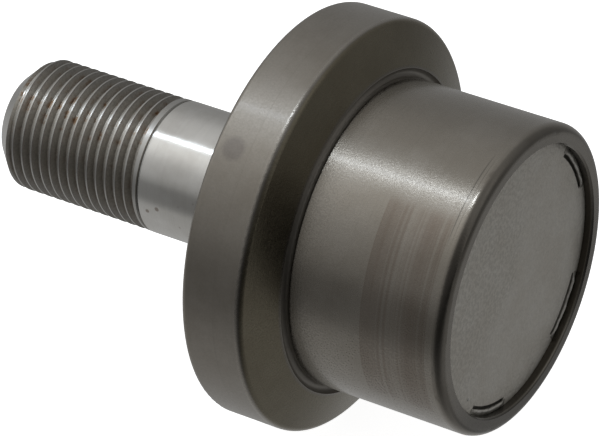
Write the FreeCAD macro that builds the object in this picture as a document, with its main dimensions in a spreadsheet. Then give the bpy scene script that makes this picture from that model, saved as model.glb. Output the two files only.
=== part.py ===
import FreeCAD, Part
import math
import os
import re

import Sketcher

# Flanged stud cam follower. Everything turns about the Y axis. The origin is the centre of the stud's
# mounting shoulder; +Y runs out along the stud, -Y runs into the roller towards its closed end.
# "depth" is measured from the roller's closed end face towards the stud, and every bearing piece is
# drawn from the back face of its own cone, then placed by its body's Placement.

SIZES = {
    # roller
    "tread_diameter": 50.8,
    "flange_diameter": 68.2625,
    "roller_width": 41.275,
    "tread_edge_radius": 1.7,
    "flange_rim_width": 10.7,
    "flange_face_angle": 22.0,
    "flange_front_radius": 1.3,
    "flange_back_radius": 1.0,
    "relief_radius": 0.85,
    "relief_centre_depth": 27.545,
    "relief_centre_radius": 25.953,
    "shell_edge_chamfer": 0.3,
    # closed end
    "cap_recess": 1.5,
    "cap_thickness": 1.55,
    "cap_diameter": 44.3,
    "stake_count": 5,
    "stake_span_angle": 29.0,
    "stake_radius": 21.0,
    "stake_slit_width": 0.8,
    "stake_slit_depth": 0.9,
    "stake_first_angle": 32.0,
    # roller bore
    "cup_diameter": 39.878,
    "rib_width": 2.4,
    "rib_bore": 34.8,
    # stud
    "collar_standoff": 1.5875,
    "collar_diameter": 30.0,
    "collar_width": 5.0,
    "collar_chamfer": 0.5,
    "shank_diameter": 22.225,
    "stud_length": 50.8,
    "thread_length": 28.95,
    "thread_pitch": 1.8143,
    "thread_diameter": 22.15,
    "thread_depth": 1.07,
    "thread_crest_flat": 0.26,
    "thread_start_gap": 0.55,
    "thread_cutter_rise": 0.3,
    "neck_width": 0.35,
    "neck_diameter": 21.5,
    "stud_end_chamfer": 3.2,
    "shank_edge_chamfer": 0.12,
    "socket_across_flats": 9.525,
    "socket_depth": 11.0,
    "journal_diameter": 17.462,
    "nut_thread_diameter": 15.875,
    "nut_thread_overlap": 0.4,
    "stud_inner_clearance": 0.6,
    # tapered roller bearings
    "bearing_width": 13.843,
    "cone_width": 14.605,
    "cup_width": 10.668,
    "roller_count": 14,
    "pitch_radius": 14.0,
    "roller_tilt": 9.34,
    "roller_taper": 1.46,
    "roller_length": 8.6,
    "roller_middle": 7.1,
    "race_clearance": 0.04,
    "roller_end_chamfer": 0.3,
    "roller_dimple_radius": 0.8,
    "roller_dimple_depth": 0.3,
    "cone_large_rib_radius": 13.6,
    "cone_small_rib_radius": 11.75,
    "cone_rib_gap": 0.12,
    "cage_lift": 0.7,
    "cage_thickness": 0.8,
    "cage_large_end": 1.7,
    "cage_small_end": 12.9,
    "cage_pocket_gap": 0.14,
    "cage_flange_radius": 12.6,
    # adjusting nut and its washer
    "nut_diameter": 23.8,
    "nut_width": 3.2,
    "nut_slot_count": 4,
    "nut_slot_width": 3.2,
    "nut_slot_depth": 1.6,
    "washer_diameter": 24.6,
    "washer_thickness": 0.8,
    "washer_tab_share": 0.8,
    # shaft seal
    "seal_case_width": 4.4,
    "seal_case_wall": 0.8,
    "seal_case_bore": 34.0,
    "seal_recess": 0.3,
    "seal_lip_gap": 0.04,
    "seal_lip_width": 2.9,
    "spring_wire_radius": 0.6,
    "spring_seat_gap": 0.3,
    "lip_edge_half_width": 0.2,
    "lip_rise": 0.2,
    "lip_thickness": 0.5,
    "lip_neck_gap": 0.7,
    "lip_shoulder_gap": 1.1,
}
ALIAS = re.compile(r"\b(" + "|".join(SIZES) + r")\b")

doc = FreeCAD.newDocument("cam_follower")
dims = doc.addObject("Spreadsheet::Sheet", "dims")
for row, (alias, number) in enumerate(SIZES.items(), start=1):
    dims.set(f"A{row}", alias)
    dims.set(f"B{row}", str(number))
    dims.setAlias(f"B{row}", alias)
doc.recompute()

# Lengths worked out from the sizes, written as the sheet's own expressions.
TREAD = "tread_diameter / 2"
FLANGE = "flange_diameter / 2"
CAP = "cap_diameter / 2"
BORE = "cup_diameter / 2"
SHANK = "shank_diameter / 2"
CREST = "thread_diameter / 2"
JOURNAL = "journal_diameter / 2"
NUT_THREAD = "nut_thread_diameter / 2"
COLLAR = "collar_diameter / 2"
FRONT = "(roller_width + collar_standoff)"
CAP_BACK = "(cap_recess + cap_thickness)"
SEAL_BORE = "seal_case_bore / 2"
INBOARD_BACK = "(roller_width + collar_standoff - collar_width)"
INBOARD_RIB = f"({INBOARD_BACK} - bearing_width)"
OUTBOARD_RIB = f"({INBOARD_RIB} - rib_width)"
OUTBOARD_BACK = f"({OUTBOARD_RIB} - bearing_width)"
APEX = "(pitch_radius / tan(roller_tilt) + roller_middle)"
CUP_ANGLE = "(roller_tilt + roller_taper)"
CONE_ANGLE = "(roller_tilt - roller_taper)"

sub_parts = []


def bound(text):
    """The text with each size's name turned into a reference to its cell."""
    return ALIAS.sub(r"dims.\1", text)


def value(text):
    """The number that an expression of sizes comes to."""
    found = dims.evalExpression(bound(text))
    return float(getattr(found, "Value", found))


def finished(thing, label):
    """Names a sub-part and keeps it for writing."""
    thing.Label = label
    sub_parts.append(thing)
    return thing


def origin_plane(body, role):
    return next(item for item in body.Origin.OriginFeatures if item.Role == role)


def new_sketch(body, name, role="XY_Plane"):
    """A sketch on one of the body's own origin planes."""
    sketch = body.newObject("Sketcher::SketchObject", name)
    sketch.AttachmentSupport = [(origin_plane(body, role), "")]
    sketch.MapMode = "FlatFace"
    return sketch


def pin(sketch, kind, geometry, vertex, text):
    """Holds one coordinate of a sketch vertex at an expression of the sizes."""
    index = sketch.addConstraint(
        Sketcher.Constraint(kind, -1, 1, geometry, vertex, value(text)))
    sketch.setExpression(f"Constraints[{index}]", bound(text))


def closed_outline(sketch, outline):
    """Straight sides through (radius, along) expressions, every corner held by its coordinates."""
    corners = [FreeCAD.Vector(value(across), value(along), 0) for across, along in outline]
    count = len(corners)
    for side in range(count):
        sketch.addGeometry(Part.LineSegment(corners[side], corners[(side + 1) % count]), False)
    for side in range(count):
        sketch.addConstraint(Sketcher.Constraint("Coincident", side, 2, (side + 1) % count, 1))
    for side, (across, along) in enumerate(outline):
        pin(sketch, "DistanceX", side, 1, across)
        pin(sketch, "DistanceY", side, 1, along)


def about_axis(body, kind, sketch, name):
    """A full turn of a sketch about its vertical axis, which is the body's Y axis."""
    feature = body.newObject(kind, name)
    feature.Profile = sketch
    feature.ReferenceAxis = (sketch, ["V_Axis"])
    feature.Angle = 360
    sketch.Visibility = False
    return feature


def turned(label, outline):
    """A body turned about Y from an outline of (radius, along) expressions."""
    body = doc.addObject("PartDesign::Body", label)
    sketch = new_sketch(body, f"{label}_outline")
    closed_outline(sketch, outline)
    about_axis(body, "PartDesign::Revolution", sketch, f"{label}_turned")
    doc.recompute()
    return body


def rings(body, wanted):
    """The names of the body's full circular edges at (radius, along) expressions."""
    places = [(value(across), value(along)) for across, along in wanted]
    names = []
    for number, edge in enumerate(body.Shape.Edges, start=1):
        curve = edge.Curve
        if not isinstance(curve, Part.Circle):
            continue
        for across, along in places:
            if abs(curve.Radius - across) < 1e-4 and abs(curve.Center.y - along) < 1e-4:
                names.append(f"Edge{number}")
    assert len(names) >= len(wanted), (body.Label, wanted)
    return names


def eased(body, kind, property_name, size, wanted, name):
    """A fillet or chamfer round the given rings of a turned body."""
    base = (body.Tip, rings(body, wanted))
    feature = body.newObject(kind, name)
    feature.Base = base
    feature.setExpression(property_name, bound(size))
    body.Tip = feature
    doc.recompute()


def rounded(body, size, wanted, name):
    eased(body, "PartDesign::Fillet", "Radius", size, wanted, name)


def chamfered(body, size, wanted, name):
    eased(body, "PartDesign::Chamfer", "Size", size, wanted, name)


def along_axis(body, text):
    body.setExpression("Placement.Base.y", bound(text))


# ---------------------------------------------------------------------------------------- roller
def roller_shell():
    """Tread, flange with its sloping face, relief at the corner, and the bore with its middle rib."""
    face_foot = f"(roller_width - flange_rim_width - ({FLANGE} - {TREAD}) * tan(flange_face_angle))"
    flange_corner = "(roller_width - flange_rim_width)"
    body = turned("roller_shell", [
        (CAP, "0"),
        (TREAD, "0"),
        (TREAD, face_foot),
        (FLANGE, flange_corner),
        (FLANGE, "roller_width"),
        (BORE, "roller_width"),
        (BORE, INBOARD_RIB),
        ("rib_bore / 2", INBOARD_RIB),
        ("rib_bore / 2", OUTBOARD_RIB),
        (BORE, OUTBOARD_RIB),
        (BORE, CAP_BACK),
        (CAP, CAP_BACK),
    ])
    rounded(body, "tread_edge_radius", [(TREAD, "0")], "tread_edge")
    rounded(body, "flange_front_radius", [(FLANGE, flange_corner)], "flange_front")
    rounded(body, "flange_back_radius", [(FLANGE, "roller_width")], "flange_back")
    chamfered(body, "shell_edge_chamfer", [(CAP, "0"), (BORE, "roller_width")], "bore_mouths")

    relief = new_sketch(body, "relief_outline")
    centre = FreeCAD.Vector(value("relief_centre_radius"), value("relief_centre_depth"), 0)
    relief.addGeometry(Part.Circle(centre, FreeCAD.Vector(0, 0, 1), value("relief_radius")), False)
    pin(relief, "DistanceX", 0, 3, "relief_centre_radius")
    pin(relief, "DistanceY", 0, 3, "relief_centre_depth")
    index = relief.addConstraint(Sketcher.Constraint("Radius", 0, value("relief_radius")))
    relief.setExpression(f"Constraints[{index}]", bound("relief_radius"))
    body.Tip = about_axis(body, "PartDesign::Groove", relief, "relief")
    along_axis(body, f"-{FRONT}")
    finished(body, "roller_shell")


def end_cap():
    """Disc pressed into the closed end, held by short arcs staked near its edge."""
    body = turned("end_cap", [
        ("0", "cap_recess"),
        (CAP, "cap_recess"),
        (CAP, CAP_BACK),
        ("0", CAP_BACK),
    ])
    slit = new_sketch(body, "stake_outline", "XZ_Plane")
    slit.AttachmentOffset = FreeCAD.Placement(
        FreeCAD.Vector(0, 0, -value("cap_recess")), FreeCAD.Rotation())
    slit.setExpression("AttachmentOffset.Base.z", bound("-cap_recess"))
    middle = math.radians(value("stake_first_angle"))
    half = math.radians(value("stake_span_angle")) / 2
    inner = value("stake_radius - stake_slit_width / 2")
    outer = value("stake_radius + stake_slit_width / 2")
    upright = FreeCAD.Vector(0, 0, 1)
    for radius in (inner, outer):
        circle = Part.Circle(FreeCAD.Vector(), upright, radius)
        slit.addGeometry(Part.ArcOfCircle(circle, middle - half, middle + half), False)
    for side in (middle - half, middle + half):
        ray = FreeCAD.Vector(math.cos(side), math.sin(side), 0)
        slit.addGeometry(Part.LineSegment(ray * inner, ray * outer), False)
    for arc, arc_end, side, side_end in ((0, 1, 2, 1), (1, 1, 2, 2), (0, 2, 3, 1), (1, 2, 3, 2)):
        slit.addConstraint(Sketcher.Constraint("Coincident", arc, arc_end, side, side_end))
    for arc, text in ((0, "stake_radius - stake_slit_width / 2"),
                      (1, "stake_radius + stake_slit_width / 2")):
        slit.addConstraint(Sketcher.Constraint("Coincident", arc, 3, -1, 1))
        index = slit.addConstraint(Sketcher.Constraint("Radius", arc, value(text)))
        slit.setExpression(f"Constraints[{index}]", bound(text))
    for side, sign in ((2, "-"), (3, "+")):
        text = f"stake_first_angle {sign} stake_span_angle / 2"
        slit.addConstraint(Sketcher.Constraint("PointOnObject", -1, 1, side))
        index = slit.addConstraint(Sketcher.Constraint("Angle", side, math.radians(value(text))))
        slit.setExpression(f"Constraints[{index}]", f"({bound(text)}) * 1deg")
    slit.Visibility = False
    before = body.Shape.Volume
    pocket = body.newObject("PartDesign::Pocket", "stake_slit")
    pocket.Profile = slit
    pocket.setExpression("Length", bound("stake_slit_depth"))
    doc.recompute()
    assert body.Shape.Volume < before
    pattern = body.newObject("PartDesign::PolarPattern", "stake_slits")
    pattern.Originals = [pocket]
    pattern.Axis = (slit, ["N_Axis"])
    pattern.Angle = 360
    pattern.setExpression("Occurrences", bound("stake_count"))
    body.Tip = pattern
    along_axis(body, f"-{FRONT}")
    finished(body, "end_cap")


# ------------------------------------------------------------------------------------------ stud
def stud():
    """Threaded end with a hex socket, ground shank, shoulder collar, bearing journal, nut thread."""
    inner_end = f"({CAP_BACK} + stud_inner_clearance - {FRONT})"
    nut_thread_end = f"({OUTBOARD_BACK} + nut_thread_overlap - {FRONT})"
    collar_back = "(0 - collar_width)"
    thread_start = "(stud_length - thread_length)"
    neck_end = f"({thread_start} + neck_width)"
    neck = "neck_diameter / 2"
    body = turned("stud", [
        ("0", inner_end),
        (NUT_THREAD, inner_end),
        (NUT_THREAD, nut_thread_end),
        (JOURNAL, nut_thread_end),
        (JOURNAL, collar_back),
        (COLLAR, collar_back),
        (COLLAR, "0"),
        (SHANK, "0"),
        (SHANK, thread_start),
        (neck, thread_start),
        (neck, neck_end),
        (CREST, neck_end),
        (CREST, "stud_length"),
        ("0", "stud_length"),
    ])
    chamfered(body, "collar_chamfer",
              [(COLLAR, "0"), (COLLAR, collar_back), (NUT_THREAD, inner_end)], "collar_edges")
    chamfered(body, "shank_edge_chamfer", [(SHANK, thread_start), (CREST, neck_end)], "neck_edges")
    chamfered(body, "stud_end_chamfer", [(CREST, "stud_length")], "stud_end")

    # One V groove wound from the neck to beyond the stud's end.
    groove = new_sketch(body, "thread_outline")
    flat = "(thread_pitch - thread_crest_flat)"
    root = f"({CREST} - thread_depth)"
    over = "thread_cutter_rise"
    start = f"({neck_end} + thread_start_gap)"
    slope = f"({flat} / 2 - thread_pitch / 8)"
    closed_outline(groove, [
        (root, f"{start} - thread_pitch / 8"),
        (root, f"{start} + thread_pitch / 8"),
        (f"{CREST} + {over}", f"{start} + thread_pitch / 8 + {slope} * (1 + {over} / thread_depth)"),
        (f"{CREST} + {over}", f"{start} - thread_pitch / 8 - {slope} * (1 + {over} / thread_depth)"),
    ])
    groove.Visibility = False
    before = body.Shape.Volume
    thread = body.newObject("PartDesign::SubtractiveHelix", "thread")
    thread.Profile = groove
    thread.ReferenceAxis = (groove, ["V_Axis"])
    thread.Mode = 0
    thread.setExpression("Pitch", bound("thread_pitch"))
    thread.setExpression("Height", bound("thread_length + thread_pitch"))
    thread.LeftHanded = False
    doc.recompute()
    assert body.Shape.Volume < before

    socket = new_sketch(body, "socket_outline", "XZ_Plane")
    socket.setExpression("AttachmentOffset.Base.z", bound("-stud_length"))
    corner = "(socket_across_flats / (2 * cos(30)))"
    ends = [f"({corner} * cos({60 * turn}))" for turn in range(6)]
    sides = [f"({corner} * sin({60 * turn}))" for turn in range(6)]
    closed_outline(socket, list(zip(ends, sides)))
    socket.Visibility = False
    before = body.Shape.Volume
    pocket = body.newObject("PartDesign::Pocket", "socket")
    pocket.Profile = socket
    pocket.Reversed = True
    pocket.setExpression("Length", bound("socket_depth"))
    doc.recompute()
    assert body.Shape.Volume < before
    finished(body, "stud")


# -------------------------------------------------------------------------------------- bearings
def race(angle, along):
    """Radius at a place along the bearing of the cone that leans on the bearing's apex."""
    return f"(({APEX} - ({along})) * tan({angle}))"


ROLLER_AXIS = "(pitch_radius / sin(roller_tilt))"
ROLLER_NEAR = f"(({ROLLER_AXIS} + roller_length / 2) * tan(roller_taper) - race_clearance)"
ROLLER_FAR = f"(({ROLLER_AXIS} - roller_length / 2) * tan(roller_taper) - race_clearance)"


def placed_bearing(body, side):
    """Moves a bearing piece to its end of the roller; the inboard one is turned end for end."""
    if side == "inboard":
        body.Placement.Rotation = FreeCAD.Rotation(FreeCAD.Vector(0, 0, 1), 180)
        along_axis(body, f"{INBOARD_BACK} - {FRONT}")
    else:
        along_axis(body, f"{OUTBOARD_BACK} - {FRONT}")


def bearing_cone(side):
    """Inner ring with a tall rib at the rollers' large ends and a low one at their small ends."""
    rib_face = (f"(roller_middle - roller_length / 2 * cos(roller_tilt)"
                f" - {ROLLER_NEAR} * sin(roller_tilt) - cone_rib_gap)")
    race_end = (f"(roller_middle + roller_length / 2 * cos(roller_tilt)"
                f" + {ROLLER_FAR} * sin(roller_tilt) + cone_rib_gap)")
    body = turned(f"{side}_cone", [
        (JOURNAL, "0"),
        ("cone_large_rib_radius", "0"),
        ("cone_large_rib_radius", rib_face),
        (race(CONE_ANGLE, rib_face), rib_face),
        (race(CONE_ANGLE, race_end), race_end),
        ("cone_small_rib_radius", race_end),
        ("cone_small_rib_radius", "cone_width"),
        (JOURNAL, "cone_width"),
    ])
    placed_bearing(body, side)
    finished(body, f"{side}_cone")


def bearing_cup(side):
    """Outer ring, its race opening towards the rollers' large ends."""
    front = "(bearing_width - cup_width)"
    body = turned(f"{side}_cup", [
        (BORE, front),
        (BORE, "bearing_width"),
        (race(CUP_ANGLE, "bearing_width"), "bearing_width"),
        (race(CUP_ANGLE, front), front),
    ])
    placed_bearing(body, side)
    finished(body, f"{side}_cup")


def roller_placement(turn):
    """Where one roller lies in the bearing's own frame: its Y axis leans towards the apex."""
    lean = FreeCAD.Rotation(FreeCAD.Vector(0, 0, 1), value("roller_tilt"))
    spread = FreeCAD.Rotation(FreeCAD.Vector(0, 1, 0), turn)
    centre = FreeCAD.Vector(value("pitch_radius"), value("roller_middle"), 0)
    return FreeCAD.Placement(spread.multVec(centre), spread * lean)


def tapered_roller(side, number, turn, bearing):
    """One frustum about its own middle, chamfered at both ends, with a dimple in its large end."""
    half = "roller_length / 2"
    ease = "roller_end_chamfer"
    label = f"{side}_roller_{number:02d}"
    body = turned(label, [
        ("0", f"roller_dimple_depth - {half}"),
        ("roller_dimple_radius", f"roller_dimple_depth - {half}"),
        ("roller_dimple_radius", f"0 - {half}"),
        (f"{ROLLER_NEAR} - {ease}", f"0 - {half}"),
        (ROLLER_NEAR, f"{ease} - {half}"),
        (ROLLER_FAR, f"{half} - {ease}"),
        (f"{ROLLER_FAR} - {ease}", half),
        ("0", half),
    ])
    body.Placement = bearing.multiply(roller_placement(turn))
    finished(body, label)


def cage(side):
    """Conical shell just outside the rollers' axes, with one tapered window for each roller."""
    shell = turned(f"{side}_cage_blank", [
        ("cage_flange_radius", "cage_small_end"),
        ("cage_flange_radius", "cage_small_end - cage_thickness"),
        (f"{race('roller_tilt', 'cage_small_end - cage_thickness')} + cage_lift - cage_thickness / 2",
         "cage_small_end - cage_thickness"),
        (f"{race('roller_tilt', 'cage_large_end')} + cage_lift - cage_thickness / 2", "cage_large_end"),
        (f"{race('roller_tilt', 'cage_large_end')} + cage_lift + cage_thickness / 2", "cage_large_end"),
        (f"{race('roller_tilt', 'cage_small_end')} + cage_lift + cage_thickness / 2",
         "cage_small_end"),
    ])
    windows = []
    count = int(value("roller_count"))
    reach = "(roller_length / 2 + cage_pocket_gap)"
    upright = FreeCAD.Rotation(FreeCAD.Vector(1, 0, 0), -90)
    for number in range(count):
        window = doc.addObject("Part::Cone", f"{side}_window_{number + 1:02d}")
        window.setExpression("Radius1", bound(f"{ROLLER_NEAR} + cage_pocket_gap"))
        window.setExpression("Radius2", bound(f"{ROLLER_FAR} + cage_pocket_gap"))
        window.setExpression("Height", bound(f"2 * {reach}"))
        base = FreeCAD.Placement(FreeCAD.Vector(0, -value(reach), 0), upright)
        window.Placement = roller_placement(360 * number / count).multiply(base)
        windows.append(window)
    opened = doc.addObject("Part::MultiFuse", f"{side}_windows")
    opened.Shapes = windows
    cut = doc.addObject("Part::Cut", f"{side}_cage")
    cut.Base = shell
    cut.Tool = opened
    placed_bearing(cut, side)
    finished(cut, f"{side}_cage")


def bearing(side):
    bearing_cone(side)
    bearing_cup(side)
    cage(side)
    doc.recompute()
    place = next(item for item in sub_parts if item.Label == f"{side}_cone").Placement
    count = int(value("roller_count"))
    for number in range(count):
        tapered_roller(side, number + 1, 360 * number / count, place)


# --------------------------------------------------------------------------------- nut and washer
def tab_washer():
    """Flat ring between the nut and the outboard cone, with one tab bent up into a nut slot."""
    ring = turned("tab_washer_ring", [
        (NUT_THREAD, "0 - washer_thickness"),
        ("washer_diameter / 2", "0 - washer_thickness"),
        ("washer_diameter / 2", "0"),
        (NUT_THREAD, "0"),
    ])
    tab = doc.addObject("Part::Box", "washer_tab")
    reach = "nut_slot_depth * washer_tab_share"
    rise = "nut_width * washer_tab_share"
    across = "nut_slot_width * washer_tab_share"
    tab.setExpression("Length", bound(reach))
    tab.setExpression("Width", bound(f"{rise} + washer_thickness"))
    tab.setExpression("Height", bound(across))
    tab.setExpression("Placement.Base.x", bound(f"nut_diameter / 2 - {reach}"))
    tab.setExpression("Placement.Base.y", bound(f"0 - washer_thickness - {rise}"))
    tab.setExpression("Placement.Base.z", bound(f"0 - {across} / 2"))
    washer = doc.addObject("Part::Fuse", "tab_washer")
    washer.Base = ring
    washer.Tool = tab
    washer.Refine = True
    along_axis(washer, f"{OUTBOARD_BACK} - {FRONT}")
    finished(washer, "tab_washer")


def adjusting_nut():
    """Round nut with slots in its edge; it sets the bearings' preload."""
    face = "(0 - washer_thickness)"
    body = turned("adjusting_nut", [
        (NUT_THREAD, f"{face} - nut_width"),
        ("nut_diameter / 2", f"{face} - nut_width"),
        ("nut_diameter / 2", face),
        (NUT_THREAD, face),
    ])
    slot = new_sketch(body, "nut_slot_outline", "XZ_Plane")
    reach = "nut_diameter / 2"
    half = "nut_slot_width / 2"
    closed_outline(slot, [
        (f"{reach} - nut_slot_depth", f"0 - {half}"),
        (f"{reach} + 1", f"0 - {half}"),
        (f"{reach} + 1", half),
        (f"{reach} - nut_slot_depth", half),
    ])
    slot.Visibility = False
    before = body.Shape.Volume
    pocket = body.newObject("PartDesign::Pocket", "nut_slot")
    pocket.Profile = slot
    pocket.Type = "ThroughAll"
    pocket.Midplane = True
    doc.recompute()
    assert body.Shape.Volume < before
    pattern = body.newObject("PartDesign::PolarPattern", "nut_slots")
    pattern.Originals = [pocket]
    pattern.Axis = (slot, ["N_Axis"])
    pattern.Angle = 360
    pattern.setExpression("Occurrences", bound("nut_slot_count"))
    body.Tip = pattern
    along_axis(body, f"{OUTBOARD_BACK} - {FRONT}")
    finished(body, "adjusting_nut")


# ------------------------------------------------------------------------------------------- seal
def seal():
    """Pressed steel case in the roller's bore, a rubber lip on the stud's collar, and its spring."""
    back = "(roller_width - seal_recess)"
    inner_face = f"({back} - seal_case_wall)"
    case = turned("seal_case", [
        (BORE, f"{back} - seal_case_width"),
        (BORE, back),
        (SEAL_BORE, back),
        (SEAL_BORE, inner_face),
        (f"{BORE} - seal_case_wall", inner_face),
        (f"{BORE} - seal_case_wall", f"{back} - seal_case_width"),
    ])
    along_axis(case, f"-{FRONT}")
    finished(case, "seal_case")

    contact = f"({COLLAR} + seal_lip_gap)"
    lip_front = f"({back} - seal_lip_width)"
    seat = f"({lip_front} + spring_wire_radius + spring_seat_gap)"
    lip = turned("seal_lip", [
        (contact, f"{seat} - lip_edge_half_width"),
        (contact, f"{seat} + lip_edge_half_width"),
        (f"{contact} + lip_thickness", f"{back} - spring_wire_radius"),
        (f"{contact} + lip_rise", back),
        (SEAL_BORE, back),
        (SEAL_BORE, inner_face),
        (f"{contact} + lip_shoulder_gap", f"{inner_face} - lip_rise / 2"),
        (f"{contact} + lip_neck_gap", f"{seat} + spring_wire_radius"),
        (f"{contact} + lip_neck_gap", lip_front),
        (f"{contact} + lip_thickness", lip_front),
    ])
    along_axis(lip, f"-{FRONT}")
    finished(lip, "seal_lip")

    spring = doc.addObject("Part::Torus", "garter_spring")
    spring.setExpression("Radius1", bound(f"{contact} + lip_neck_gap + spring_wire_radius"))
    spring.setExpression("Radius2", bound("spring_wire_radius"))
    spring.Placement.Rotation = FreeCAD.Rotation(FreeCAD.Vector(1, 0, 0), 90)
    along_axis(spring, f"{seat} - {FRONT}")
    finished(spring, "garter_spring")


roller_shell()
end_cap()
stud()
for end in ("inboard", "outboard"):
    bearing(end)
tab_washer()
adjusting_nut()
seal()
doc.recompute()

failed = [item.Name for item in doc.Objects if {"Invalid", "Error"} & set(item.State)]
assert not failed, failed
for item in sub_parts:
    assert not item.Shape.isNull() and item.Shape.isValid(), item.Label

os.makedirs("parts", exist_ok=True)
for item in sub_parts:
    item.Shape.exportStep(f"parts/{item.Label}.step")
print(len(sub_parts), "sub-parts written")
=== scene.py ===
import math

import bmesh
import bpy
from mathutils import Matrix, Vector


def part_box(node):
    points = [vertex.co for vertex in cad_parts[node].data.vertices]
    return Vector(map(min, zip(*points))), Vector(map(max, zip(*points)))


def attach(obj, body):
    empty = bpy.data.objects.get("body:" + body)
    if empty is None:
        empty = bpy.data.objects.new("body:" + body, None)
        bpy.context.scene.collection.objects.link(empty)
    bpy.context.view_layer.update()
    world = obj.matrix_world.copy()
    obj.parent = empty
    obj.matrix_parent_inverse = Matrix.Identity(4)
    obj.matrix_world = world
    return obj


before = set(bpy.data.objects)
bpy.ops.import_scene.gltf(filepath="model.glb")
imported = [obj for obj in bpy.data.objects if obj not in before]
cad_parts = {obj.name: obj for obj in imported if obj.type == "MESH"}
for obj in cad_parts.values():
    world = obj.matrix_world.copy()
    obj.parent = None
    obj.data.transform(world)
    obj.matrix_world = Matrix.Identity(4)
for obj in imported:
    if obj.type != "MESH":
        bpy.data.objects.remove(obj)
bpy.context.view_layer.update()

# ---------------------------------------------------------------- positions taken from the CAD
SHELL_LOW, SHELL_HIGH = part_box("roller_shell")
STUD_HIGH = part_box("stud")[1]
CAP_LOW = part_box("end_cap")[0]
FLANGE_RADIUS = SHELL_HIGH.x
RIM_Y = SHELL_LOW.y
CAP_Y = CAP_LOW.y
STUD_END_Y = STUD_HIGH.y
MM = 0.001
THREAD_START_Y = STUD_END_Y - 28.95 * MM
CREST_RADIUS = 11.075 * MM
SHANK_RADIUS = 11.11 * MM

# Bands on the roller, as depths behind its front rim
FRONT_EDGE = (0.1 * MM, 1.7 * MM)
WEAR = (2.9 * MM, 14.4 * MM)
WEAR_REAR = (11.6 * MM, 14.4 * MM)
WEAR_CORE = (4.7 * MM, 7.4 * MM)
SCRATCH = (2.62 * MM, 2.80 * MM)
FINE_SCRATCH = (2.05 * MM, 2.12 * MM)
GROOVE = (27.0 * MM, 28.5 * MM)
GROOVE_STRIPE = (27.30 * MM, 27.80 * MM)
FLANGE_EDGE = (30.75 * MM, 31.45 * MM)
SMUDGE_DEPTH = 37.8 * MM

# Angles round the Y axis, from +X towards +Z, in degrees
WEAR_SIDE = 170
SCRATCH_SIDE = 121
SMUDGE_SIDE = 134.7
RIM_LOWER_SIDE = 258
RIM_RIGHT_SIDE = 322
PEEL_SIDE = 150
RUST_SIDE = 110
PITTED_SIDE = 190


def toward_angle(degrees):
    """The direction across the Y axis at an angle from +X towards +Z."""
    return (math.cos(math.radians(degrees)), 0.0, math.sin(math.radians(degrees)))


def on_axis(degrees, radius, y):
    """A point at an angle and radius round the Y axis."""
    x, _, z = toward_angle(degrees)
    return (x * radius, y, z * radius)


# ---------------------------------------------------------------- node helpers
class Nodes:
    """A node tree with short calls for its links; every call returns an output socket."""

    def __init__(self, tree):
        self.tree = tree
        tree.nodes.clear()

    def add(self, kind, **settings):
        node = self.tree.nodes.new(kind)
        for key, value in settings.items():
            setattr(node, key, value)
        return node

    def plug(self, socket, value):
        if isinstance(value, bpy.types.NodeSocket):
            self.tree.links.new(value, socket)
        elif value is not None:
            socket.default_value = value

    def math(self, operation, a, b=None, c=None):
        node = self.add("ShaderNodeMath", operation=operation)
        for socket, value in zip(node.inputs, (a, b, c)):
            self.plug(socket, value)
        return node.outputs[0]

    def ramp(self, value, low, high, to_low=0.0, to_high=1.0):
        node = self.add("ShaderNodeMapRange", interpolation_type="SMOOTHSTEP")
        for socket, v in zip(node.inputs, (value, low, high, to_low, to_high)):
            self.plug(socket, v)
        return node.outputs[0]

    def blend(self, kind, factor, a, b):
        node = self.add("ShaderNodeMix", data_type="RGBA", blend_type=kind)
        self.plug(node.inputs[0], factor)
        self.plug(node.inputs[6], a)
        self.plug(node.inputs[7], b)
        return node.outputs[2]

    def mix(self, factor, a, b):
        return self.blend("MIX", factor, a, b)

    def tint(self, factor, a, b):
        return self.blend("MULTIPLY", factor, a, b)

    def vector(self, x, y, z):
        node = self.add("ShaderNodeCombineXYZ")
        for socket, value in zip(node.inputs, (x, y, z)):
            self.plug(socket, value)
        return node.outputs[0]

    def noise(self, vector, scale, detail, rough, w=None):
        node = self.add("ShaderNodeTexNoise", noise_dimensions="3D" if w is None else "4D")
        self.plug(node.inputs["Vector"], vector)
        if w is not None:
            self.plug(node.inputs["W"], w)
        node.inputs["Scale"].default_value = scale
        node.inputs["Detail"].default_value = detail
        node.inputs["Roughness"].default_value = rough
        return node.outputs[0]

    def spots(self, vector, scale):
        node = self.add("ShaderNodeTexVoronoi", feature="F1")
        self.plug(node.inputs["Vector"], vector)
        node.inputs["Scale"].default_value = scale
        return node.outputs["Distance"]

    def bump(self, height, strength, distance, under=None):
        node = self.add("ShaderNodeBump")
        node.inputs["Strength"].default_value = strength
        node.inputs["Distance"].default_value = distance
        self.plug(node.inputs["Height"], height)
        if under is not None:
            self.plug(node.inputs["Normal"], under)
        return node.outputs[0]


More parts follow.
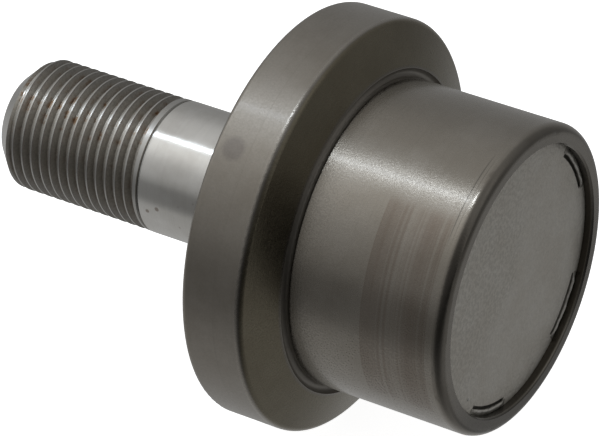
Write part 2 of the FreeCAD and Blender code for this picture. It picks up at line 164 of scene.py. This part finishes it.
class Finish(Nodes):
    """A metal or rubber finish on a part turned about the Y axis."""

    def __init__(self, name):
        material = bpy.data.materials.new(name)
        material.use_nodes = True
        super().__init__(material.node_tree)
        self.material = material
        self.shader = self.add("ShaderNodeBsdfPrincipled")
        output = self.add("ShaderNodeOutputMaterial")
        self.tree.links.new(self.shader.outputs[0], output.inputs[0])
        self.place = self.add("ShaderNodeTexCoord").outputs["Object"]
        split = self.add("ShaderNodeSeparateXYZ")
        self.plug(split.inputs[0], self.place)
        self.x, self.y, self.z = split.outputs
        x_square = self.math("MULTIPLY", self.x, self.x)
        square = self.math("ADD", x_square, self.math("MULTIPLY", self.z, self.z))
        self.r = self.math("SQRT", square)

    def turned(self, across, around, detail, rough):
        """Noise drawn out round the axis, as a lathe or grinding wheel leaves it, per metre."""
        vector = self.vector(
            self.math("MULTIPLY", self.r, across),
            self.math("MULTIPLY", self.y, across),
            self.math("MULTIPLY", self.x, around),
        )
        return self.noise(vector, 1.0, detail, rough, w=self.math("MULTIPLY", self.z, around))

    def near(self, point, radius, soft):
        """1 inside a ball about a point, falling to 0 outside it."""
        node = self.add("ShaderNodeVectorMath", operation="DISTANCE")
        self.plug(node.inputs[0], self.place)
        node.inputs[1].default_value = point
        return self.ramp(node.outputs["Value"], radius, radius + soft, 1.0, 0.0)

    def facing(self, degrees, low, high):
        """1 on the side of the part at an angle round the axis; low and high are cosines."""
        node = self.add("ShaderNodeVectorMath", operation="DOT_PRODUCT")
        self.plug(node.inputs[0], self.place)
        node.inputs[1].default_value = toward_angle(degrees)
        return self.ramp(self.math("DIVIDE", node.outputs["Value"], self.r), low, high)

    def band(self, value, low, high, soft):
        """1 where value is between low and high."""
        return self.math(
            "MULTIPLY",
            self.ramp(value, low - soft, low + soft),
            self.ramp(value, high - soft, high + soft, 1.0, 0.0),
        )

    def set(self, **values):
        for key, value in values.items():
            self.plug(self.shader.inputs[key.replace("_", " ")], value)


def grey(value, red=1.0, blue=1.0):
    return (value * red, value, value * blue, 1.0)


# ---------------------------------------------------------------- finishes
def roller_steel():
    f = Finish("roller_steel")
    depth = f.math("SUBTRACT", f.y, RIM_Y)
    cloud = f.noise(f.place, 95.0, 5.0, 0.62)
    colour = f.mix(f.ramp(cloud, 0.34, 0.66), (0.236, 0.215, 0.184, 1.0), (0.276, 0.255, 0.224, 1.0))
    grain = f.noise(f.place, 2700.0, 2.0, 0.7)
    colour = f.tint(f.ramp(grain, 0.35, 0.65, 0.0, 0.10), colour, grey(0.62))
    lines = f.turned(4200.0, 14.0, 3.0, 0.7)
    colour = f.tint(f.ramp(lines, 0.52, 0.74, 0.0, 0.22), colour, grey(0.66, 1.03, 0.95))
    # wear from a rail: brown bands over the front of the tread, on one side of the roller
    on_tread = f.ramp(f.r, 25.0 * MM, 25.2 * MM)
    patches = f.ramp(f.noise(f.place, 34.0, 3.0, 0.55), 0.36, 0.60, 0.62, 1.0)
    streaks = f.turned(1300.0, 9.0, 3.0, 0.6)
    wear = f.math("MULTIPLY", f.band(depth, *WEAR, 0.10 * MM), f.ramp(streaks, 0.38, 0.62, 0.22, 0.95))
    rear = f.math("MULTIPLY", f.band(depth, *WEAR_REAR, 0.10 * MM), 0.72)
    wear = f.math("MAXIMUM", wear, rear)
    core = f.math("MULTIPLY", f.band(depth, *WEAR_CORE, 0.5 * MM), f.ramp(streaks, 0.3, 0.6, 0.6, 1.0))
    wear = f.math("MULTIPLY", f.math("MAXIMUM", wear, core), patches)
    wear = f.math("MULTIPLY", f.math("MULTIPLY", wear, on_tread), f.facing(WEAR_SIDE, 0.74, 0.80))
    colour = f.tint(wear, colour, (0.74, 0.675, 0.645, 1.0))
    scratch = f.math("MULTIPLY", f.band(depth, *SCRATCH, 0.08 * MM), on_tread)
    second = f.math("MULTIPLY", f.band(depth, *FINE_SCRATCH, 0.06 * MM), on_tread)
    scratch = f.math("MAXIMUM", scratch, second)
    scratch = f.math("MULTIPLY", scratch, f.facing(SCRATCH_SIDE, 0.93, 0.99))
    colour = f.tint(scratch, colour, grey(0.52))
    # the sloping face of the flange is a little more yellow
    in_front = f.ramp(depth, 30.5 * MM, 30.9 * MM, 1.0, 0.0)
    face = f.math("MULTIPLY", f.ramp(f.r, 26.9 * MM, 27.4 * MM), in_front)
    colour = f.tint(face, colour, (1.0, 0.965, 0.80, 1.0))
    smudge = f.near(on_axis(SMUDGE_SIDE, FLANGE_RADIUS, RIM_Y + SMUDGE_DEPTH), 1.3 * MM, 1.1 * MM)
    colour = f.tint(smudge, colour, (0.76, 0.75, 0.77, 1.0))
    # painted shade down the wall of the recess, and a paler stripe painted as a highlight in the corner
    # groove
    inside = f.ramp(f.r, 26.6 * MM, 27.0 * MM, 1.0, 0.0)
    groove = f.math("MULTIPLY", f.band(depth, *GROOVE, 0.15 * MM), inside)
    wall = f.ramp(f.r, 22.2 * MM, 22.6 * MM, 1.0, 0.0)
    # painted shade: the recess wall is darkened where it sits in shade
    painted_recess_shade = f.math("MULTIPLY", wall, f.ramp(depth, 0.2 * MM, 0.6 * MM))
    colour = f.tint(painted_recess_shade, colour, grey(0.30, 1.05, 0.92))
    # painted highlight: a paler stripe in the corner groove, lifting the groove's shade
    painted_groove_highlight = f.math("MULTIPLY", groove, f.band(depth, *GROOVE_STRIPE, 0.14 * MM))
    colour = f.mix(f.math("MULTIPLY", painted_groove_highlight, 0.60), colour, (0.66, 0.63, 0.58, 1.0))
    # the front rim, darker low down and on the right, set by its angle round the axis
    front = f.ramp(depth, 0.15 * MM, 0.35 * MM, 1.0, 0.0)
    ring = f.math("MULTIPLY", front, f.ramp(f.r, 22.2 * MM, 22.4 * MM))
    lower = f.math("MULTIPLY", f.facing(RIM_LOWER_SIDE, 0.45, 0.98), ring)
    colour = f.tint(f.math("MULTIPLY", lower, 0.85), colour, grey(0.42))
    right = f.math("MULTIPLY", f.facing(RIM_RIGHT_SIDE, 0.55, 0.95), ring)
    colour = f.tint(f.math("MULTIPLY", right, 0.8), colour, grey(0.55))
    colour = f.tint(ring, colour, grey(0.88))
    # the flange's front edge is burnished
    edge = f.math("MULTIPLY", f.band(depth, *FLANGE_EDGE, 0.14 * MM), f.ramp(f.r, 33.7 * MM, 33.95 * MM))
    colour = f.mix(f.math("MULTIPLY", edge, 0.25), colour, (0.44, 0.42, 0.39, 1.0))
    rough = f.ramp(cloud, 0.3, 0.7, 0.235, 0.285)
    rough = f.math("ADD", rough, f.ramp(grain, 0.3, 0.7, -0.04, 0.04))
    rough = f.math("ADD", rough, f.ramp(f.r, 33.9 * MM, 34.0 * MM, 0.0, 0.12))
    rough = f.math("SUBTRACT", rough, f.math("MULTIPLY", f.band(depth, *FRONT_EDGE, 0.1 * MM), 0.06))
    rough = f.math("ADD", rough, f.math("MULTIPLY", wear, 0.03))
    rough = f.math("ADD", rough, f.math("MULTIPLY", groove, 0.18))
    rough = f.math("SUBTRACT", rough, f.math("MULTIPLY", edge, 0.12))
    normal = f.bump(grain, 0.16, 0.00010)
    normal = f.bump(lines, 0.10, 0.00010, normal)
    f.set(Base_Color=colour, Metallic=1.0, Roughness=rough, Normal=normal)
    f.set(Coat_Weight=0.5, Coat_Roughness=0.15)
    return f.material


def cap_steel():
    f = Finish("cap_steel")
    cloud = f.noise(f.place, 150.0, 4.0, 0.6)
    colour = f.mix(f.ramp(cloud, 0.33, 0.68), (0.86, 0.82, 0.745, 1.0), (0.96, 0.93, 0.865, 1.0))
    # a stamped skin: coarse orange peel, strongest on the upper left, over a fine grain
    peel = f.noise(f.place, 1500.0, 2.0, 0.55)
    strong = f.math("MULTIPLY_ADD", f.facing(PEEL_SIDE, -0.1, 0.8), 0.50, 0.22)
    skin = f.math("MULTIPLY", f.ramp(peel, 0.38, 0.60), strong)
    colour = f.tint(skin, colour, grey(0.76, 1.0, 0.98))
    grain = f.noise(f.place, 4200.0, 3.0, 0.75)
    colour = f.tint(f.ramp(grain, 0.40, 0.64, 0.0, 0.20), colour, grey(0.66))
    # painted shade: darker towards the cap's edge, where it meets the wall of the recess
    rim = f.ramp(f.r, 21.5 * MM, 22.15 * MM, 0.0, 0.6)
    colour = f.tint(rim, colour, grey(0.50, 1.02, 0.95))
    # painted shade: darker down in the stake slits, below the cap's face
    slit = f.ramp(f.y, CAP_Y + 0.10 * MM, CAP_Y + 0.40 * MM)
    colour = f.tint(slit, colour, grey(0.30))
    rough = f.ramp(cloud, 0.3, 0.7, 0.40, 0.52)
    normal = f.bump(peel, 0.8, 0.0003)
    normal = f.bump(grain, 0.20, 0.00012, normal)
    f.set(Base_Color=colour, Metallic=0.33, Roughness=rough, Normal=normal)
    return f.material


def stud_steel():
    f = Finish("stud_steel")
    cloud = f.noise(f.place, 120.0, 4.0, 0.6)
    colour = f.mix(f.ramp(cloud, 0.35, 0.68), (0.57, 0.56, 0.535, 1.0), (0.65, 0.645, 0.625, 1.0))
    lines = f.turned(5200.0, 12.0, 3.0, 0.7)
    colour = f.tint(f.ramp(lines, 0.5, 0.75, 0.0, 0.28), colour, grey(0.7))
    # dark oil over the flanks and roots of the thread, with rust brown streaks in it
    threaded = f.band(f.y, THREAD_START_Y + 0.45 * MM, STUD_END_Y - 3.2 * MM, 0.1 * MM)
    below_crest = f.ramp(f.r, CREST_RADIUS - 0.07 * MM, CREST_RADIUS - 0.01 * MM, 1.0, 0.0)
    oil = f.math("MULTIPLY", threaded, below_crest)
    stain = f.noise(f.place, 560.0, 4.0, 0.65)
    root = f.ramp(f.r, 10.1 * MM, 10.75 * MM, 1.0, 0.0)
    rust = f.math("MULTIPLY", f.ramp(stain, 0.50, 0.66), f.math("MULTIPLY_ADD", root, 0.8, 0.15))
    upper = f.math("MULTIPLY_ADD", f.facing(RUST_SIDE, 0.70, 0.93), 0.75, 0.25)
    rust = f.math("MULTIPLY", rust, upper)
    flank = f.mix(root, (0.48, 0.46, 0.43, 1.0), (0.44, 0.42, 0.385, 1.0))
    flank = f.mix(rust, flank, (0.26, 0.165, 0.10, 1.0))
    speckle = f.noise(f.place, 2600.0, 3.0, 0.7)
    flank = f.tint(f.ramp(speckle, 0.42, 0.62, 0.0, 0.45), flank, grey(0.62))
    colour = f.mix(oil, f.tint(threaded, colour, grey(0.72)), flank)
    first_pit = f.near(on_axis(185.6, SHANK_RADIUS, 18.2 * MM), 0.28 * MM, 0.2 * MM)
    second_pit = f.near(on_axis(190.7, SHANK_RADIUS, 20.1 * MM), 0.24 * MM, 0.2 * MM)
    small = f.ramp(f.spots(f.place, 330.0), 0.04, 0.085, 0.5, 0.0)
    pits = f.math("MULTIPLY", small, f.facing(PITTED_SIDE, 0.8, 0.95))
    pits = f.math("MAXIMUM", f.math("MAXIMUM", first_pit, second_pit), pits)
    colour = f.tint(pits, colour, (0.55, 0.50, 0.47, 1.0))
    rough = f.math("ADD", f.ramp(cloud, 0.3, 0.7, 0.12, 0.175), f.math("MULTIPLY", threaded, 0.13))
    rough = f.math("ADD", rough, f.math("MULTIPLY", oil, 0.13))
    normal = f.bump(lines, 0.10, 0.00006)
    grain = f.noise(f.place, 3000.0, 2.0, 0.7)
    normal = f.bump(grain, 0.06, 0.00008, normal)
    f.set(Base_Color=colour, Metallic=1.0, Roughness=rough, Normal=normal)
    return f.material


def burnished_steel():
    """The torn, bright metal of the stake lips, with painted shade at their foot."""
    f = Finish("burnished_steel")
    cloud = f.noise(f.place, 900.0, 3.0, 0.6)
    colour = f.mix(f.ramp(cloud, 0.36, 0.66), (0.66, 0.64, 0.59, 1.0), (0.93, 0.91, 0.86, 1.0))
    # painted shade at the foot of each lip, where it meets the cap
    foot = f.ramp(f.y, CAP_Y - 0.26 * MM, CAP_Y - 0.08 * MM, 0.0, 0.75)
    colour = f.tint(foot, colour, grey(0.42, 1.02, 0.95))
    normal = f.bump(cloud, 0.25, 0.0002)
    rough = f.ramp(cloud, 0.3, 0.7, 0.30, 0.44)
    f.set(Base_Color=colour, Metallic=0.35, Roughness=rough, Normal=normal)
    return f.material


def plain_steel(name, low, high, rough, across=3000.0, metallic=1.0):
    """Bearing, nut, washer and bead finishes: turned or rolled metal with soft clouding; the bead's
    near-white colour is a painted glint.
    """
    f = Finish(name)
    cloud = f.noise(f.place, 170.0, 4.0, 0.6)
    colour = f.mix(f.ramp(cloud, 0.34, 0.67), low, high)
    lines = f.turned(across, 14.0, 3.0, 0.7)
    colour = f.tint(f.ramp(lines, 0.5, 0.75, 0.0, 0.4), colour, grey(0.7))
    grain = f.noise(f.place, 2400.0, 2.0, 0.7)
    value = f.ramp(cloud, 0.3, 0.7, rough - 0.04, rough + 0.05)
    value = f.math("ADD", value, f.ramp(grain, 0.3, 0.7, -0.03, 0.03))
    normal = f.bump(grain, 0.10, 0.0001, f.bump(lines, 0.12, 0.0001))
    f.set(Base_Color=colour, Metallic=metallic, Roughness=value, Normal=normal)
    return f.material


def seal_rubber():
    f = Finish("seal_rubber")
    cloud = f.noise(f.place, 260.0, 4.0, 0.6)
    colour = f.mix(f.ramp(cloud, 0.35, 0.65), (0.020, 0.019, 0.018, 1.0), (0.040, 0.038, 0.036, 1.0))
    rings = f.turned(2600.0, 20.0, 2.0, 0.6)
    grain = f.noise(f.place, 3200.0, 3.0, 0.7)
    rough = f.math("ADD", f.ramp(cloud, 0.3, 0.7, 0.42, 0.58), f.ramp(grain, 0.3, 0.7, -0.04, 0.04))
    normal = f.bump(grain, 0.3, 0.00012, f.bump(rings, 0.2, 0.00012))
    f.set(Base_Color=colour, Metallic=0.0, Roughness=rough, Normal=normal)
    return f.material


FINISHES = {
    "roller_steel": roller_steel(),
    "cap_steel": cap_steel(),
    "stud_steel": stud_steel(),
    "bearing_steel": plain_steel("bearing_steel", (0.50, 0.49, 0.47, 1.0), (0.60, 0.59, 0.57, 1.0), 0.18),
    "cage_steel": plain_steel("cage_steel", (0.34, 0.31, 0.26, 1.0), (0.44, 0.41, 0.35, 1.0), 0.34),
    "nut_steel": plain_steel("nut_steel", (0.15, 0.14, 0.13, 1.0), (0.21, 0.20, 0.18, 1.0), 0.36),
    "seal_case_steel": plain_steel(
        "seal_case_steel", (0.36, 0.34, 0.31, 1.0), (0.46, 0.44, 0.41, 1.0), 0.30
    ),
    "seal_rubber": seal_rubber(),
    "spring_steel": plain_steel("spring_steel", (0.46, 0.45, 0.44, 1.0), (0.56, 0.55, 0.53, 1.0), 0.22),
}
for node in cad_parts.values():
    for socket in node.material_slots:
        socket.material = FINISHES[socket.material.name.split(".")[0]]


# ---------------------------------------------------------------- metal raised by staking the cap in
def from_rows(name, rows):
    """A closed skin through rows of points, each row a loop, with its first and last rows capped."""
    mesh = bmesh.new()
    loops = [[mesh.verts.new(point) for point in row] for row in rows]
    for one, two in zip(loops, loops[1:]):
        for k in range(len(one)):
            n = (k + 1) % len(one)
            mesh.faces.new((one[k], one[n], two[n], two[k]))
    mesh.faces.new(list(reversed(loops[0])))
    mesh.faces.new(loops[-1])
    bmesh.ops.recalc_face_normals(mesh, faces=mesh.faces)
    for face in mesh.faces:
        face.smooth = len(face.verts) == 4
    data = bpy.data.meshes.new(name)
    mesh.to_mesh(data)
    mesh.free()
    thing = bpy.data.objects.new(name, data)
    bpy.context.scene.collection.objects.link(thing)
    return thing


STAKES = 5
STAKE_FIRST, STAKE_STEP, STAKE_SPAN = 32.0, 72.0, 29.0
LIP_INNER, LIP_OUTER = 21.14 * MM, 22.10 * MM
LIP_HEIGHT = 0.34 * MM
# height across a lip, from its edge on the slit out to the wall: (share of width, share of height)
LIP_SHAPE = [
    (0.0, -0.25), (0.02, 0.45), (0.10, 0.85), (0.24, 1.0), (0.42, 0.86), (0.62, 0.52), (0.82, 0.24),
    (1.0, 0.10), (1.0, -0.25),
]
LIP_ROWS = 57


def stake_lip(number):
    """One curl of metal pushed up beside a stake slit, ragged along its length."""
    middle = STAKE_FIRST + STAKE_STEP * number
    rows = []
    for i in range(LIP_ROWS):
        t = i / (LIP_ROWS - 1)
        angle = math.radians(middle + STAKE_SPAN * (t - 0.5) * 1.06)
        ends = min(1.0, math.sin(math.pi * min(max(t, 0.02), 0.98)) * 2.4)
        ragged = 1.0 + 0.15 * math.sin(17.0 * t + 1.7 * number)
        ragged = ragged + 0.06 * math.sin(47.0 * t + 2.9 * number)
        drift = 0.05 * MM * math.sin(9.0 * t + number)
        drift = drift + 0.03 * MM * math.sin(37.0 * t + 2.0 * number)
        row = []
        for across, up in LIP_SHAPE:
            r = LIP_INNER + (LIP_OUTER - LIP_INNER) * across + drift * (1.0 - across) * (up > 0)
            h = LIP_HEIGHT * up * (ends * ragged if up > 0 else 1.0)
            row.append((math.cos(angle) * r, CAP_Y - h, math.sin(angle) * r))
        rows.append(row)
    return from_rows(f"stake_lip_{number + 1}", rows)


BURNISHED = burnished_steel()
for number in range(STAKES):
    lip = stake_lip(number)
    lip.data.materials.append(BURNISHED)
    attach(lip, "roller")


PIP_ANGLE, PIP_FROM_AXIS = -134, 20.1 * MM
PIP_RADIUS, PIP_HEIGHT = 0.27 * MM, 0.17 * MM
PIP_SPOKES = 16
# (share of radius, share of height), from the foot up
PIP_SHAPE = ((1.0, -0.3), (1.0, 0.1), (0.86, 0.5), (0.6, 0.82), (0.3, 0.97), (0.06, 1.0))


def cap_pip():
    """A tiny raised bead on the cap's face."""
    x, _, z = on_axis(PIP_ANGLE, PIP_FROM_AXIS, 0)
    rows = []
    for share, up in PIP_SHAPE:
        row = []
        for k in range(PIP_SPOKES):
            a = 2 * math.pi * k / PIP_SPOKES
            r = PIP_RADIUS * share * (1 + 0.12 * math.sin(2 * a + 0.6))
            row.append((x + r * math.cos(a), CAP_Y - PIP_HEIGHT * up, z + r * math.sin(a)))
        rows.append(row)
    return from_rows("cap_pip", rows)


pip = cap_pip()
# the bead is near white and barely metallic: a painted glint
PAINTED_GLINT_BEAD = plain_steel("painted_glint_bead", (0.84, 0.83, 0.80, 1.0), (0.93, 0.92, 0.90, 1.0), 0.30, metallic=0.05)
pip.data.materials.append(PAINTED_GLINT_BEAD)
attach(pip, "roller")


# ---------------------------------------------------------------- floor, light and camera
def disc(name, radius, rings, spokes):
    """A floor disc with its rings of faces closer together near the middle."""
    mesh = bmesh.new()
    middle = mesh.verts.new((0, 0, 0))
    last = None
    for i in range(1, rings + 1):
        r = radius * (i / rings) ** 2
        turns = [2 * math.pi * k / spokes for k in range(spokes)]
        ring = [mesh.verts.new((r * math.cos(turn), r * math.sin(turn), 0)) for turn in turns]
        for k in range(spokes):
            n = (k + 1) % spokes
            if last is None:
                mesh.faces.new((middle, ring[k], ring[n]))
            else:
                mesh.faces.new((last[k], ring[k], ring[n], last[n]))
        last = ring
    data = bpy.data.meshes.new(name)
    mesh.to_mesh(data)
    mesh.free()
    thing = bpy.data.objects.new(name, data)
    bpy.context.scene.collection.objects.link(thing)
    return thing


FLOOR_RADIUS, FLOOR_RINGS, FLOOR_SPOKES = 12.0, 10, 48
FLOOR_GAP = 0.1 * MM
floor = disc("floor", FLOOR_RADIUS, FLOOR_RINGS, FLOOR_SPOKES)
floor.location = (0, 0, -FLANGE_RADIUS - FLOOR_GAP)
floor.visible_glossy = False
floor.visible_diffuse = False
floor.visible_shadow = False
paper = bpy.data.materials.new("paper")
paper.use_nodes = True
n = Nodes(paper.node_tree)
shader = n.add("ShaderNodeBsdfPrincipled")
shader.inputs["Base Color"].default_value = (0.92, 0.92, 0.92, 1.0)
shader.inputs["Roughness"].default_value = 0.9
shader.inputs["Specular IOR Level"].default_value = 0.0
shader.inputs["Emission Color"].default_value = (1.0, 1.0, 1.0, 1.0)
shader.inputs["Emission Strength"].default_value = 0.93
n.tree.links.new(shader.outputs[0], n.add("ShaderNodeOutputMaterial").inputs[0])
floor.data.materials.append(paper)

# Brightness of the room by the angle round the Y axis, from +X towards +Z, in degrees
ROOM = [
    (0, 0.29), (20, 0.33), (40, 0.41), (58, 0.55), (76, 0.63), (92, 0.66), (102, 0.98), (116, 1.04),
    (126, 0.92), (136, 0.74), (146, 0.58), (156, 0.50), (166, 0.44), (176, 0.34), (186, 0.205),
    (208, 0.195), (216, 0.24), (226, 0.395), (236, 0.41), (256, 0.44), (276, 0.43), (306, 0.41),
    (336, 0.28), (360, 0.29),
]
# and by how far it lies towards the stud end, from -1 to 1
DEPTH = [
    (-1.0, 0.44), (-0.9, 0.46), (-0.77, 0.60), (-0.67, 0.53), (-0.47, 0.51), (-0.3, 0.52), (-0.15, 0.63),
    (0.0, 0.82), (0.45, 1.0), (1.0, 1.0),
]
# the same behind the camera, where the room is darker, and where that holds, by angle
DEPTH_BEHIND = [
    (-1.0, 0.14), (-0.5, 0.16), (-0.22, 0.24), (-0.08, 0.42), (0.12, 0.72), (0.3, 0.92), (0.45, 1.0),
    (1.0, 1.0),
]
BEHIND = [(0, 0.0), (70, 0.0), (125, 1.0), (235, 1.0), (285, 0.0), (360, 0.0)]
# and a pale card standing low in front, on the right
CARD_AT = Vector((0.72, -0.45, -0.53)).normalized()
CARD = 0.12
CARD_EDGE, CARD_CORE = 0.935, 0.99
FULL_TURN = 360


def curve(tree, value, points, low, high):
    """A number read from a list of (place, value) points, straight between them."""
    node = tree.add("ShaderNodeFloatCurve")
    line = node.mapping.curves[0]
    top = max(v for _, v in points)
    spots = [((p - low) / (high - low), v / top) for p, v in points]
    while len(line.points) < len(spots):
        line.points.new(0.5, 0.5)
    for point, spot in zip(line.points, spots):
        point.location = spot
        point.handle_type = "VECTOR"
    node.mapping.update()
    tree.plug(node.inputs["Value"], tree.math("DIVIDE", tree.math("SUBTRACT", value, low), high - low))
    return tree.math("MULTIPLY", node.outputs[0], top)


world = bpy.data.worlds.new("studio")
bpy.context.scene.world = world
world.use_nodes = True
w = Nodes(world.node_tree)
direction = w.add("ShaderNodeTexCoord").outputs["Generated"]
split = w.add("ShaderNodeSeparateXYZ")
w.plug(split.inputs[0], direction)
round_y = w.math("MULTIPLY", w.math("ARCTAN2", split.outputs[2], split.outputs[0]), 180 / math.pi)
round_y = w.math("FLOORED_MODULO", round_y, FULL_TURN)
behind = curve(w, round_y, BEHIND, 0, FULL_TURN)
before = w.math("SUBTRACT", 1.0, behind)
lit = w.math("MULTIPLY", curve(w, split.outputs[1], DEPTH, -1, 1), before)
dim = w.math("MULTIPLY", curve(w, split.outputs[1], DEPTH_BEHIND, -1, 1), behind)
strength = w.math("MULTIPLY", curve(w, round_y, ROOM, 0, FULL_TURN), w.math("ADD", lit, dim))
toward = w.add("ShaderNodeVectorMath", operation="DOT_PRODUCT")
w.plug(toward.inputs[0], direction)
toward.inputs[1].default_value = CARD_AT
strength = w.math("ADD", strength, w.ramp(toward.outputs["Value"], CARD_EDGE, CARD_CORE, 0.0, CARD))
room = w.add("ShaderNodeBackground")
room.inputs["Color"].default_value = (1.0, 0.995, 0.98, 1.0)
w.plug(room.inputs["Strength"], strength)
backdrop = w.add("ShaderNodeBackground")
backdrop.inputs["Color"].default_value = (1.0, 1.0, 1.0, 1.0)
choose = w.add("ShaderNodeMixShader")
w.plug(choose.inputs[0], w.add("ShaderNodeLightPath").outputs["Is Camera Ray"])
w.plug(choose.inputs[1], room.outputs[0])
w.plug(choose.inputs[2], backdrop.outputs[0])
w.plug(w.add("ShaderNodeOutputWorld").inputs[0], choose.outputs[0])


LIGHT_ANGLE = math.radians(101.5)
LIGHT_DISTANCE = 1.3
LIGHT_COLOUR = (0.86, 0.95, 1.06)


def area_light(name, lean, size, power):
    """A rectangular light overhead, aimed at the object and leaning towards the stud end."""
    data = bpy.data.lights.new(name, "AREA")
    data.shape = "RECTANGLE"
    data.size, data.size_y = size
    data.energy = power
    data.color = LIGHT_COLOUR
    light = bpy.data.objects.new(name, data)
    bpy.context.scene.collection.objects.link(light)
    flat = math.cos(lean)
    place = Vector((math.cos(LIGHT_ANGLE) * flat, math.sin(lean), math.sin(LIGHT_ANGLE) * flat))
    place = place * LIGHT_DISTANCE
    light.location = place
    z = place.normalized()
    along = (Vector((0, 1, 0)) - z * z.y).normalized()
    across = along.cross(z)
    light.matrix_world = Matrix.Translation(place) @ Matrix((across, along, z)).transposed().to_4x4()


area_light("lamp", math.radians(9), (0.07, 0.34), 0.6)
area_light("strip", math.radians(27), (0.075, 1.0), 1.35)

# the camera's own axes, and how far the rim's centre lies along each
RIGHT = Vector((0.53256, -0.84639, 0.0))
DOWN = Vector((-0.44702, -0.28127, -0.84915))
FORWARD = Vector((0.71872, 0.45222, -0.52815))
RIM_RIGHT, RIM_DOWN, RIM_AHEAD = 0.03468, 0.00995, 0.6638
SENSOR_WIDTH, LENS = 36.0, 257.15
eye = Vector((0, RIM_Y, 0)) - RIM_RIGHT * RIGHT - RIM_DOWN * DOWN - RIM_AHEAD * FORWARD
camera = bpy.data.objects.new("camera", bpy.data.cameras.new("camera"))
bpy.context.scene.collection.objects.link(camera)
camera.data.sensor_width = SENSOR_WIDTH
camera.data.lens = LENS
camera.data.clip_start = 0.01
camera.data.clip_end = 100.0
camera.matrix_world = Matrix.Translation(eye) @ Matrix((RIGHT, -DOWN, -FORWARD)).transposed().to_4x4()
bpy.context.scene.camera = camera
bpy.context.scene.view_settings.view_transform = "Standard"
